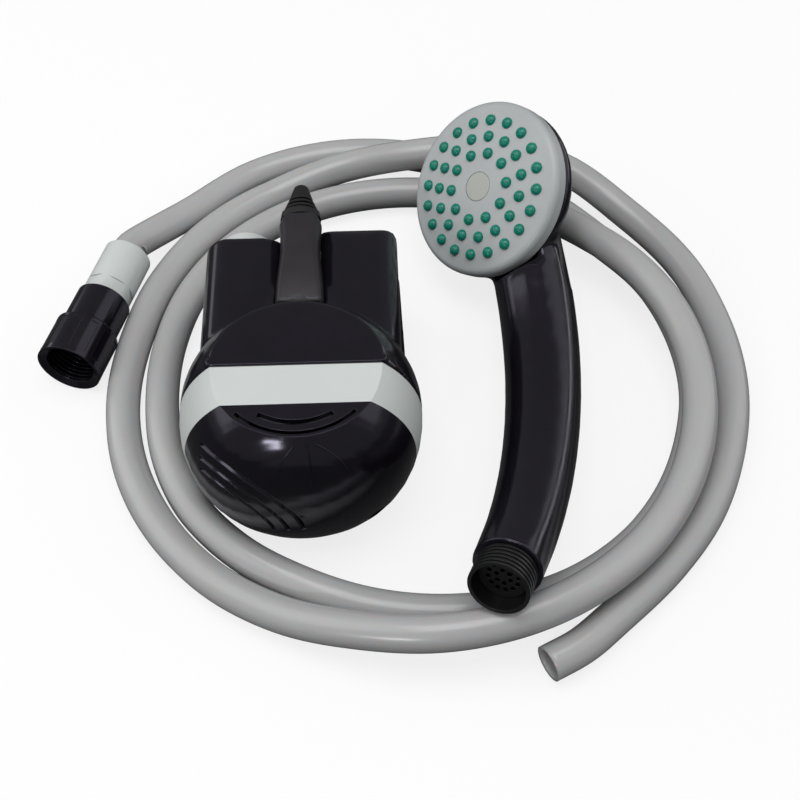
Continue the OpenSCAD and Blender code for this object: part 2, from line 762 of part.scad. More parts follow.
// Grooves of a pipe thread, as a stack of rings
module thread_grooves(root, crest, l) rotate_extrude() for (z = [thread_pitch : thread_pitch : l - 0.5])
  polygon([[root, z - 0.1], [root, z + 0.1], [crest, z + 0.45], [crest, z - 0.45]]);

// Rod with a bevel round its far end
module bevelled_rod(r, l, edge) {
  cylinder(r = r, h = l - edge);
  translate([0, 0, l - edge]) cylinder(r1 = r, r2 = r - edge, h = edge);
}

module coupling_nut() color("#1c1b20") on_coupling() difference() {
  union() {
    bevelled_rod(nut_r, nut_wide_l, nut_edge);
    bevelled_rod(nut_step_d / 2, nut_l, nut_edge / 2);
  }
  for (i = [0 : nut_flutes - 1]) rotate([0, 0, i * 360 / nut_flutes])
    translate([nut_r - flute_depth, -flute_w / 2, flute_end])
      cube([nut_r, flute_w, nut_wide_l - 2 * flute_end]);
  translate([0, 0, -over]) cylinder(r = thread_core_r, h = nut_bore_l + over);
  thread_grooves(thread_r, thread_core_r - 0.1, nut_bore_l);
  translate([0, 0, nut_bore_l]) cylinder(d = clip_d + 2 * apart, h = nut_l - nut_lip_t - nut_bore_l);
  cylinder(d = tail_neck_d + 2 * apart, h = wide);
}

// Hose tail: a slim neck inside the nut, then a wider sleeve with six flats beside the nut
module hose_tail() color("#c5c9c8") on_coupling() difference() {
  union() {
    translate([0, 0, tail_neck_low]) cylinder(d = tail_neck_d, h = nut_l + apart - tail_neck_low + over);
    translate([0, 0, nut_l + apart]) bevelled_rod(tail_d / 2, tail_l - apart, tail_edge);
  }
  cylinder(d = tail_bore_d, h = wide);
  for (i = [0 : tail_flats - 1]) rotate([0, 0, i * 360 / tail_flats])
    translate([tail_d / 2 - tail_flat_depth, -tail_d / 2, nut_l]) cube([tail_d, tail_d, tail_flat_l]);
}

module tail_clip() color("#8d9296") on_coupling()
  tube(clip_d / 2, tail_neck_d / 2 + press, clip_t, nut_l - nut_lip_t - apart - clip_t);

module nut_washer() color("#151517") on_coupling()
  tube(clip_d / 2, tail_bore_d / 2, washer_ring_t, washer_low);

// Hand shower

module on_shower() translate(shower_pos) rotate(shower_turn) rotate([0, shower_roll, 0]) children();

// Handle: a circular arc in the shower's middle plane, angle a is its heading
function handle_angle(t) = handle_start_angle + t * (bowl_angle - handle_start_angle);
function handle_point(t) = let (a = handle_angle(t))
  handle_bend_r * [0, sin(a) - sin(handle_start_angle), cos(handle_start_angle) - cos(a)];
function handle_radius(t) = handle_end_d / 2 + (handle_top_d - handle_end_d) / 2 * sin(90 * max(0, t));

function handle_ring(t, inset, sides) =
  let (a = handle_angle(t), p = handle_point(t), r = handle_radius(t) - inset)
  [for (k = [0 : sides - 1]) let (w = k * 360 / sides)
    p + r * [cos(w), -sin(w) * sin(a), sin(w) * cos(a)]];

// Solid rod with the handle's curve and taper, drawn in by an inset
module handle_rod(inset, from, to) {
  points = [for (i = [0 : handle_rings - 1])
    each handle_ring(from + (to - from) * i / (handle_rings - 1), inset, handle_sides)];
  last = (handle_rings - 1) * handle_sides;
  polyhedron(points, concat(
    wall_faces(0, handle_rings, handle_sides, false),
    [for (k = [1 : handle_sides - 2]) [0, k + 1, k]],
    [for (k = [1 : handle_sides - 2]) [last, last + k, last + k + 1]]));
}

// Stands a shape on the head: Z out of the spray face, 0 at the bowl's rim
module on_head() on_shower() translate(handle_point(1)) rotate([head_tilt, 0, 0])
  translate([0, 0, head_rise]) children();

// Stands a shape on the threaded inlet: Z outwards, 0 at the end of the handle
module on_inlet() on_shower() rotate([90 + handle_start_angle, 0, 0]) children();

// Bowl behind the spray face: a short rim, then a round cap
module bowl(inset) {
  r = bowl_r - inset;
  cap_h = bowl_depth - bowl_rim_h - inset;
  cap_r = (r * r + cap_h * cap_h) / (2 * cap_h);
  widest = asin(r / cap_r);
  rotate_extrude() polygon(concat(
    [[0, 0], [r, 0]],
    [for (i = [bowl_steps : -1 : 0]) let (a = widest * i / bowl_steps)
      [cap_r * sin(a), cap_r * (1 - cos(a)) - cap_h - bowl_rim_h]]));
}

module shower_body() color("#1c1b20") difference() {
  union() {
    on_head() bowl(0);
    on_shower() handle_rod(0, 0, 1);
    on_shower() translate(handle_point(1)) sphere(d = handle_top_d + 2 * apart);
  }
  on_head() translate([0, 0, seat]) bowl(handle_wall);
  on_head() cylinder(r = head_room_r, h = bowl_depth);
  on_shower() handle_rod(handle_wall, -0.02, 0.9);
}

module face_seal() color("#151517") on_head() tube(face_d / 2 - 0.6, face_d / 2 - 2.4, seal_ring_t);

// Rise of the slightly domed spray face above its edge
function crown_at(r) = face_crown * (1 - pow(r / face_flat_r, 2));

// Spray face: a domed cup with a rounded edge, a flat seat for the cap, and a hole for each nub
module face_plate() color("#aeaeb0") on_head() difference() {
  translate([0, 0, seal_ring_t]) rotate_extrude() polygon(concat(
    [[0, 0], [face_d / 2, 0]],
    [for (t = [0 : 15 : 90])
      [face_flat_r + face_edge * cos(t), face_h - face_edge + face_edge * sin(t)]],
    [for (i = [crown_steps - 1 : -1 : 0]) let (r = cap_d / 2 + (face_flat_r - cap_d / 2) * i / crown_steps)
      [r, face_h + crown_at(r)]],
    [[0, face_h + crown_at(cap_d / 2)]]));
  cylinder(r = face_d / 2 - 2.4, h = face_top - plate_face_t);
  for (i = [0 : len(nub_rings) - 1]) nub_ring(i) cylinder(d = nub_d + 2 * run, h = wide);
  cylinder(r = cap_pin_r + run, h = wide);
}

// Puts a child at each nub of one ring
module nub_ring(i) for (k = [0 : nub_rings[i] - 1])
  rotate([0, 0, nub_turns[i] + k * 360 / nub_rings[i]]) translate([nub_ring_r(i), 0, 0]) children();

function nub_ring_r(i) = (i + 2) * nub_ring_step;

// Rubber mat with a nub for each jet
module nub_mat() color("#1f8f72") on_head() difference() {
  union() {
    translate([0, 0, mat_low]) cylinder(r = face_d / 2 - 2.4 - seat, h = mat_t);
    for (i = [0 : len(nub_rings) - 1]) nub_ring(i) translate([0, 0, mat_low]) {
      shank = face_top + crown_at(nub_ring_r(i)) + nub_h - nub_tip_h - mat_low;
      cylinder(d = nub_d, h = shank);
      translate([0, 0, shank]) cylinder(d1 = nub_d, d2 = nub_d - 1.4 * nub_tip_h, h = nub_tip_h);
    }
  }
  cylinder(r = cap_pin_r + run, h = wide);
}

module water_plate() color("#d8d8d4") on_head() difference() {
  translate([0, 0, mat_low - water_plate_t]) cylinder(r = face_d / 2 - 2.4 - seat, h = water_plate_t);
  cylinder(r = cap_pin_r + run, h = wide);
  for (k = [0 : 7]) rotate([0, 0, k * 45]) translate([face_d / 4, 0, 0]) cylinder(d = 6, h = wide);
}

module centre_cap() color("#aeaeb0") on_head() {
  cap_low = face_top + crown_at(cap_d / 2);
  translate([0, 0, cap_low]) cylinder(d1 = cap_d, d2 = cap_d - 2 * cap_h, h = cap_h);
  translate([0, 0, mat_low - water_plate_t])
    cylinder(r = cap_pin_r, h = cap_low + cap_h / 2 - mat_low + water_plate_t);
}

module inlet_spigot() color("#17161a") on_inlet() difference() {
  union() {
    cylinder(r = thread_r, h = thread_l);
    translate([0, 0, -spigot_plug_l])
      cylinder(r = handle_end_d / 2 - handle_wall - apart, h = spigot_plug_l + over);
  }
  difference() {
    thread_grooves(thread_core_r, thread_r + 0.1, thread_l);
    cylinder(r = thread_core_r, h = thread_l);
  }
  translate([0, 0, -spigot_plug_l - over]) cylinder(d = inlet_bore_d, h = wide);
  translate([0, 0, thread_l - filter_depth]) cylinder(d = inlet_mouth_d, h = wide);
}

module inlet_filter() color("#8d9296") on_inlet() translate([0, 0, thread_l - filter_depth]) difference() {
  cylinder(d = inlet_mouth_d - 2 * run, h = filter_t);
  for (i = [1 : 2], j = [0 : 6 * i - 1]) rotate([0, 0, j * 60 / i]) translate([i * 2.6, 0, -over])
    cylinder(d = 1.6, h = filter_t + 2 * over, $fn = 16);
}

upper_housing();
housing_gasket();
belt_ring();
intake_cover();
cover_screws();
intake_filter();
pump_plate();
volute();
impeller();
shaft_seal();
motor_shaft();
motor_armature();
motor_magnets();
motor_can();
motor_end_bell();
riser_tube();
neck_washer();
outlet_neck();
hose_barb();
power_button();
button_seal();
power_switch();
left_cell();
right_cell();
lower_contacts();
upper_contacts();
battery_door();
door_gasket();
door_screws();
hose();
hose_tail();
tail_clip();
coupling_nut();
nut_washer();
shower_body();
inlet_spigot();
inlet_filter();
water_plate();
nub_mat();
face_plate();
face_seal();
centre_cap();
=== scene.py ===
"""Looks of a camp shower kit: a battery pump, a coiled hose with its coupling, and a hand shower.

Lengths are in metres, unless a name ends in mm.
"""

import json
import logging
import math
from dataclasses import dataclass
from enum import Enum

import bmesh
import bpy
from mathutils import Matrix, Vector


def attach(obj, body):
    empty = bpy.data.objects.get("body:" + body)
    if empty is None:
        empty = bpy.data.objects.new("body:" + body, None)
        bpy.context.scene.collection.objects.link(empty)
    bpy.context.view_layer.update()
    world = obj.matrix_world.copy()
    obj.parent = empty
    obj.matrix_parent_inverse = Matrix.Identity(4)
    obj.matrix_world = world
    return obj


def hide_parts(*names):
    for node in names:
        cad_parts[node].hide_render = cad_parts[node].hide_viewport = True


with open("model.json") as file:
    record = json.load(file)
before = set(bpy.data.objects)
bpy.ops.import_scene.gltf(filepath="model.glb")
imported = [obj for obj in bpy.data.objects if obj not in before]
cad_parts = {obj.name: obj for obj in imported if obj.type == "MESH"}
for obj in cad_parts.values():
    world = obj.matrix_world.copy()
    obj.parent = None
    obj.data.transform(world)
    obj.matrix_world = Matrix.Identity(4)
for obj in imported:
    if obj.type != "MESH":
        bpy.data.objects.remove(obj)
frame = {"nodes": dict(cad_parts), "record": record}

LOG = logging.getLogger("shower_kit")
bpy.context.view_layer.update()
MM = 0.001
SLOT_OF_NODE: dict[str, str] = {row["node"]: row["material_slot"] for row in frame["record"]["subparts"]}
# Points of a copied solid that are closer than this are one point
WELD = 0.00002
# The same for a spun outline, which has finer steps
SPUN_WELD = WELD / 4
# Edges sharper than this stay sharp
SHARP = math.radians(32)
# Points this near to a bore's end belong to its mouth
MOUTH_BAND = 0.3 * MM
# Share of the way to its neighbours' middle that a point goes in one pass of smoothing
SMOOTH_SHARE = 0.5
WHITE = (1.0, 1.0, 1.0, 1.0)


class Body(str, Enum):
    """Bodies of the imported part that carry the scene's own pieces."""

    PUMP = "pump"
    BUTTON = "button"
    COUPLING = "coupling"
    SHOWER = "hand_shower"


def linear(hex_colour: str) -> tuple[float, float, float, float]:
    """Turn an sRGB hex colour into linear RGBA.

    Args:
        hex_colour: colour such as "#a0b1c2".

    Returns:
        Linear red, green, blue and an alpha of 1.
    """
    parts = [int(hex_colour[i:i + 2], 16) / 255 for i in (1, 3, 5)]
    channels = [c / 12.92 if c <= 0.04045 else ((c + 0.055) / 1.055) ** 2.4 for c in parts]
    return (channels[0], channels[1], channels[2], 1.0)


def add_node(
    tree: bpy.types.NodeTree, kind: str, inputs: dict[int | str, object] | None = None, **settings: object
) -> bpy.types.Node:
    """Add a shader node with its settings, constants and links.

    Args:
        tree: node tree that gets the node.
        kind: type name of the node.
        inputs: socket name or number to a constant or to another node's output socket.
        settings: properties of the node.

    Returns:
        The new node.
    """
    node = tree.nodes.new(kind)
    for name, value in settings.items():
        setattr(node, name, value)
    for name, value in (inputs or {}).items():
        if isinstance(value, bpy.types.NodeSocket):
            tree.links.new(value, node.inputs[name])
        else:
            node.inputs[name].default_value = value
    return node


@dataclass(frozen=True)
class Finish:
    """A moulded surface: uneven colour, smears in the gloss, a fine skin and softened edges.

    Patterns are sized in millimetres on the part's own coordinates. A moulded skin's real grain is too fine
    to show, so it is drawn several times as coarse.
    """

    name: str
    colour: str
    shade: str
    roughness: float
    gloss_spread: float = 0.06
    smear_mm: float = 9.0
    grain_mm: float = 0.5
    grain_depth_mm: float = 0.01
    edge_mm: float = 0.0
    ior: float = 1.5
    metallic: float = 0.0
    soft_depth_mm: float = 0.0
    soft_share: float = 0.25
    shine: str = "#ffffff"
    drift_detail: float = 3.0
    smear_detail: float = 5.0
    smear_low: float = 0.3
    smear_high: float = 0.7
    least_roughness: float = 0.02
    grain_detail: float = 2.0
    grain_strength: float = 0.5
    edge_samples: int = 6

    def material(self) -> bpy.types.Material:
        """Build the material, or find it where it is built already.

        Returns:
            The material.
        """
        made = bpy.data.materials.get(self.name)
        if made:
            return made
        made = bpy.data.materials.new(self.name)
        made.use_nodes = True
        tree = made.node_tree
        shader = tree.nodes["Principled BSDF"]
        shader.inputs["IOR"].default_value = self.ior
        shader.inputs["Metallic"].default_value = self.metallic
        shader.inputs["Specular Tint"].default_value = linear(self.shine)
        if self.soft_depth_mm:
            shader.inputs["Subsurface Weight"].default_value = self.soft_share
            shader.inputs["Subsurface Scale"].default_value = self.soft_depth_mm * MM
        place = add_node(tree, "ShaderNodeTexCoord").outputs["Object"]
        tree.links.new(self.tint(tree, place), shader.inputs["Base Color"])
        tree.links.new(self.gloss(tree, place), shader.inputs["Roughness"])
        tree.links.new(self.skin(tree, place), shader.inputs["Normal"])
        return made

    def tint(self, tree: bpy.types.NodeTree, place: bpy.types.NodeSocket) -> bpy.types.NodeSocket:
        """Colour that drifts softly between the two shades.

        Args:
            tree: the material's node tree.
            place: object coordinates.

        Returns:
            Colour socket.
        """
        scale = 1 / (2 * self.smear_mm * MM)
        pattern = {"Vector": place, "Scale": scale, "Detail": self.drift_detail}
        drift = add_node(tree, "ShaderNodeTexNoise", pattern)
        return self.between_shades(tree, drift.outputs["Fac"])

    def between_shades(self, tree: bpy.types.NodeTree, share: bpy.types.NodeSocket) -> bpy.types.NodeSocket:
        """Mix the two shades.

        Args:
            tree: the material's node tree.
            share: how much of the second shade shows.

        Returns:
            Colour socket.
        """
        # A colour mix takes its share in socket 0 and its two colours in sockets 6 and 7
        shades = {0: share, 6: linear(self.colour), 7: linear(self.shade)}
        return add_node(tree, "ShaderNodeMix", shades, data_type="RGBA").outputs[2]

    def gloss(self, tree: bpy.types.NodeTree, place: bpy.types.NodeSocket) -> bpy.types.NodeSocket:
        """Roughness with handling smears.

        Args:
            tree: the material's node tree.
            place: object coordinates.

        Returns:
            Roughness socket.
        """
        scale = 1 / (self.smear_mm * MM)
        pattern = {"Vector": place, "Scale": scale, "Detail": self.smear_detail}
        smear = add_node(tree, "ShaderNodeTexNoise", pattern)
        levels = {
            "Value": smear.outputs["Fac"],
            "From Min": self.smear_low,
            "From Max": self.smear_high,
            "To Min": max(self.least_roughness, self.roughness - self.gloss_spread),
            "To Max": self.roughness + self.gloss_spread,
        }
        return add_node(tree, "ShaderNodeMapRange", levels).outputs["Result"]

    def skin(self, tree: bpy.types.NodeTree, place: bpy.types.NodeSocket) -> bpy.types.NodeSocket:
        """Fine bump of the moulded skin, over edges that are broken by a small radius.

        Args:
            tree: the material's node tree.
            place: object coordinates.

        Returns:
            Normal socket.
        """
        scale = 1 / (self.grain_mm * MM)
        pattern = {"Vector": place, "Scale": scale, "Detail": self.grain_detail}
        grain = add_node(tree, "ShaderNodeTexNoise", pattern)
        relief = {
            "Height": grain.outputs["Fac"],
            "Strength": self.grain_strength,
            "Distance": self.grain_depth_mm * MM,
        }
        if self.edge_mm:
            edge = add_node(
                tree, "ShaderNodeBevel", {"Radius": self.edge_mm * MM}, samples=self.edge_samples
            )
            relief["Normal"] = edge.outputs["Normal"]
        return add_node(tree, "ShaderNodeBump", relief).outputs["Normal"]


@dataclass(frozen=True)
class Banded(Finish):
    """A surface with fine parallel lines: brushed metal, windings or a wrap."""

    line_mm: float = 0.6
    across: str = "Y"
    # A wave texture of scale 1 repeats after this length
    wave_repeat: float = 0.314
    waver: float = 0.6
    wave_detail: float = 2.0

    def tint(self, tree: bpy.types.NodeTree, place: bpy.types.NodeSocket) -> bpy.types.NodeSocket:
        """Lines that alternate between the two shades.

        Args:
            tree: the material's node tree.
            place: object coordinates.

        Returns:
            Colour socket.
        """
        pattern = {
            "Vector": place,
            "Scale": self.wave_repeat / (self.line_mm * MM),
            "Distortion": self.waver,
            "Detail": self.wave_detail,
        }
        lines = add_node(tree, "ShaderNodeTexWave", pattern, bands_direction=self.across)
        return self.between_shades(tree, lines.outputs["Fac"])


# Glossy black ABS, moulded and polished: deep black with a slight violet cast and soft wide reflections
GLOSS_BLACK = Finish(
    "gloss_black_abs", "#0c0a0f", "#121015", 0.16, gloss_spread=0.04, grain_mm=1.2, grain_depth_mm=0.003,
    edge_mm=0.3, shine="#e8e4fa",
)
# Satin black ABS of the neck, moulded: its base colour is a shade greyer than the housing's as painted sheen,
# on top of the real sheen that spreads wide
NECK_BLACK_PAINTED_SHEEN = Finish(
    "satin_black_abs", "#1b191c", "#222023", 0.4, gloss_spread=0.04, grain_mm=0.5, edge_mm=0.4,
    shine="#f2eef6",
)
# Satin black nylon, moulded: barb and threads, duller than the housing
SATIN_BLACK = Finish("satin_black_nylon", "#09090b", "#0f0f11", 0.38, grain_mm=0.4, edge_mm=0.2)
# Light grey ABS with a cool green cast, moulded satin: even and pale, with soft edges
LIGHT_GREY = Finish("light_grey_abs", "#c9cdcc", "#c2c7c5", 0.38, grain_mm=0.5, edge_mm=0.4)
# Mid grey ABS of the spray face, moulded satin: even, with a soft sheen that shows its slight dome
FACE_GREY = Finish("face_grey_abs", "#aaaeaf", "#a2a6a7", 0.36, grain_mm=0.5)
# Mid grey ABS of the cap, moulded satin: a shade yellower than the face round it
CAP_GREY = Finish("cap_grey_abs", "#a8aba5", "#a1a49e", 0.38, grain_mm=0.5)
# Teal silicone, moulded: soft, slightly translucent, with a small bright highlight on every nub
TEAL_SILICONE = Finish(
    "teal_silicone", "#08846f", "#067260", 0.24, grain_depth_mm=0.003, ior=1.43, soft_depth_mm=0.8
)
# Grey vinyl hose, extruded: smooth, with a waxy highlight
GREY_VINYL = Finish(
    "grey_vinyl", "#b0b0b0", "#a8a8a9", 0.24, gloss_spread=0.02, smear_mm=60.0, grain_mm=1.0,
    grain_depth_mm=0.004, ior=1.53, soft_depth_mm=0.6,
)
# Black sealing rubber, moulded: dull and slightly grainy
SEAL_RUBBER = Finish("seal_rubber", "#161617", "#1e1e1f", 0.7, grain_mm=0.3, grain_depth_mm=0.02)
# Plated steel, brushed: bright metal with fine parallel lines
PLATED_STEEL = Banded("plated_steel", "#b9bbbd", "#a4a7aa", 0.3, metallic=1.0, line_mm=0.25)
# Enamelled copper wire, wound: warm metal with a dark line between the turns
COPPER_WINDINGS = Banded("copper_windings", "#b8713a", "#7c4420", 0.35, metallic=1.0, line_mm=0.5)
# Sintered ferrite magnet: dark, dull and grainy
FERRITE = Finish("ferrite", "#3c3835", "#2f2c2a", 0.75, grain_mm=0.3, grain_depth_mm=0.03)
# Natural nylon, moulded: creamy white and slightly translucent
NATURAL_NYLON = Finish("natural_nylon", "#e3e1d8", "#d6d3c8", 0.45, soft_depth_mm=1.2)
# Dark glass-filled nylon of the inner pieces, moulded: flat dark grey with little gloss
DARK_PLASTIC = Finish("dark_filled_nylon", "#3a3b3f", "#313236", 0.5)
# Printed film shrunk round a battery cell: glossy, in two broad bands
CELL_WRAP = Banded("cell_wrap", "#b8963f", "#2b2a2c", 0.3, metallic=0.4, line_mm=20.0)
# Plated brass contacts, stamped: pale yellow metal with a soft gloss
CONTACT_BRASS = Finish("contact_brass", "#cdbf8a", "#b7a873", 0.32, metallic=1.0)

FINISH_OF_SLOT: dict[str, Finish] = {
    "gloss_black": GLOSS_BLACK,
    "matte_black": SATIN_BLACK,
    "light_grey": LIGHT_GREY,
    "face_grey": FACE_GREY,
    "teal_rubber": TEAL_SILICONE,
    "hose_vinyl": GREY_VINYL,
    "black_rubber": SEAL_RUBBER,
    "steel": PLATED_STEEL,
    "copper": COPPER_WINDINGS,
    "magnet": FERRITE,
    "white_nylon": NATURAL_NYLON,
    "dark_grey": DARK_PLASTIC,
    "cell_wrap": CELL_WRAP,
    "contact_brass": CONTACT_BRASS,
}


def dress(piece: bpy.types.Object, finish: Finish) -> None:
    """Give a piece one finish all over."""
    piece.data.materials.clear()
    piece.data.materials.append(finish.material())


def dress_nodes() -> None:
    """Give every CAD node the finish of its material slot."""
    for node, slot in SLOT_OF_NODE.items():
        dress(frame["nodes"][node], FINISH_OF_SLOT[slot])


def joined_copy(node: str) -> bmesh.types.BMesh:
    """Copy a CAD node's mesh and join its loose triangles.

    Args:
        node: name of the CAD node.

    Returns:
        The joined mesh.
    """
    shape = bmesh.new()
    shape.from_mesh(frame["nodes"][node].data)
    bmesh.ops.remove_doubles(shape, verts=shape.verts, dist=WELD)
    return shape


def add_shape(whole: bmesh.types.BMesh, part: bmesh.types.BMesh) -> None:
    """Add one shape to another.

    Args:
        whole: the shape that grows.
        part: the shape that is added, which is used up.
    """
    mesh = bpy.data.meshes.new("part")
    part.to_mesh(mesh)
    part.free()
    whole.from_mesh(mesh)
    bpy.data.meshes.remove(mesh)


def final_shape(helper: bpy.types.Object) -> bmesh.types.BMesh:
    """Take the final mesh of a helper object.

    Args:
        helper: an object with modifiers or a thick curve, which is removed.

    Returns:
        Its final shape.
    """
    bpy.context.scene.collection.objects.link(helper)
    bpy.context.view_layer.update()
    mesh = bpy.data.meshes.new_from_object(helper.evaluated_get(bpy.context.evaluated_depsgraph_get()))
    bpy.data.objects.remove(helper)
    shape = bmesh.new()
    shape.from_mesh(mesh)
    bpy.data.meshes.remove(mesh)
    return shape


def remeshed(shape: bmesh.types.BMesh, voxel: float) -> bmesh.types.BMesh:
    """Turn a shape into an even skin of small squares.

    Args:
        shape: the shape, which is used up.
        voxel: side of the squares.

    Returns:
        The even skin.
    """
    rough_mesh = bpy.data.meshes.new("rough")
    shape.to_mesh(rough_mesh)
    shape.free()
    rough = bpy.data.objects.new("rough", rough_mesh)
    even = rough.modifiers.new("even", "REMESH")
    even.mode = "VOXEL"
    even.voxel_size = voxel
    skin = final_shape(rough)
    bpy.data.meshes.remove(rough_mesh)
    return skin


def softened(shape: bmesh.types.BMesh, verts: list[bmesh.types.BMVert], passes: int) -> None:
    """Smooth some of a shape's points.

    Args:
        shape: the shape.
        verts: the points that move.
        passes: how many times they are smoothed.
    """
    for _ in range(passes):
        bmesh.ops.smooth_vert(
            shape, verts=verts, factor=SMOOTH_SHARE, use_axis_x=True, use_axis_y=True, use_axis_z=True
        )


def spun(profile: list[tuple[float, float]], steps: int) -> bmesh.types.BMesh:
    """Spin a closed or open outline round the Z axis.

    Args:
        profile: radius and height of each point.
        steps: number of steps round.

    Returns:
        The spun shape, with joined poles and outward faces.
    """
    shape = bmesh.new()
    verts = [shape.verts.new((radius, 0.0, height)) for radius, height in profile]
    edges = [shape.edges.new(pair) for pair in zip(verts, verts[1:])]
    bmesh.ops.spin(
        shape, geom=verts + edges, cent=(0.0, 0.0, 0.0), axis=(0.0, 0.0, 1.0), angle=2 * math.pi,
        steps=steps, use_merge=True,
    )
    bmesh.ops.remove_doubles(shape, verts=shape.verts, dist=SPUN_WELD)
    bmesh.ops.recalc_face_normals(shape, faces=shape.faces)
    return shape


def swept(path: list[Vector], radius: float, sides: int) -> bmesh.types.BMesh:
    """Sweep a circle along a path.

    Args:
        path: points of the axis.
        radius: radius of the circle.
        sides: number of sides, a multiple of four.

    Returns:
        The swept skin, open at both ends.
    """
    line = bpy.data.curves.new("line", "CURVE")
    line.dimensions = "3D"
    line.twist_mode = "MINIMUM"
    line.bevel_depth = radius
    line.bevel_resolution = sides // 4 - 1
    spline = line.splines.new("POLY")
    spline.points.add(len(path) - 1)
    for point, place in zip(spline.points, path):
        point.co = (*place, 1.0)
    shape = final_shape(bpy.data.objects.new("guide", line))
    bpy.data.curves.remove(line)
    return shape


def make_piece(
    name: str, shape: bmesh.types.BMesh, body: Body, nodes: tuple[str, ...], slot: str,
    finish: Finish | None = None,
) -> bpy.types.Object:
    """Turn a shape into a dressed piece that rides on a body.

    Args:
        name: name of the piece.
        shape: the shape, which is used up.
        body: body that carries the piece.
        nodes: CAD nodes that the piece stands for.
        slot: material slot of the record.
        finish: finish where it differs from the slot's.

    Returns:
        The piece.
    """
    for face in shape.faces:
        face.smooth = True
    for edge in shape.edges:
        edge.smooth = edge.calc_face_angle(0.0) < SHARP
    mesh = bpy.data.meshes.new(name)
    shape.to_mesh(mesh)
    shape.free()
    piece = bpy.data.objects.new(name, mesh)
    bpy.context.scene.collection.objects.link(piece)
    dress(piece, finish or FINISH_OF_SLOT[slot])
    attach(piece, body.value)
    if nodes:
        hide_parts(*nodes)
    LOG.info("%s: %d faces", name, len(mesh.polygons))
    return piece


def smooth_copy(name: str, node: str, body: Body) -> bpy.types.Object:
    """Make a piece with a CAD node's own shape and smooth shading.

    Args:
        name: name of the piece.
        node: name of the CAD node.
        body: body that carries the piece.

    Returns:
        The piece.
    """
    return make_piece(name, joined_copy(node), body, (node,), SLOT_OF_NODE[node])


def open_mouth(shape: bmesh.types.BMesh, place: Matrix, bore: float, mouth: float) -> None:
    """Widen the end of a bore to a lead-in.

    Args:
        shape: mesh with the bore.
        place: middle of the bore's end, with Z along the bore.
        bore: points nearer to the axis than this are moved.
        mouth: radius that they are moved to.
    """
    back = place.inverted()
    for vert in shape.verts:
        local = back @ vert.co
        across = math.hypot(local.x, local.y)
        if abs(local.z) < MOUTH_BAND and across < bore:
            local.x *= mouth / across
            local.y *= mouth / across
            vert.co = place @ local


@dataclass(frozen=True)
class Lamp:
    name: str
    place: tuple[float, float, float]
    width: float
    height: float
    radiance: float
    # Power of a lamp of unit area and unit radiance
    unit_power: float = 4.0

    def build(self) -> None:
        """Make the lamp, with the power that gives its radiance."""
        data = bpy.data.lights.new(self.name, "AREA")
        data.shape = "RECTANGLE"
        data.size = self.width
        data.size_y = self.height
        data.energy = self.unit_power * self.width * self.height * self.radiance
        lamp = bpy.data.objects.new(self.name, data)
        lamp.location = self.place
        lamp.rotation_euler = (-Vector(self.place)).to_track_quat("-Z", "Y").to_euler()
        bpy.context.scene.collection.objects.link(lamp)


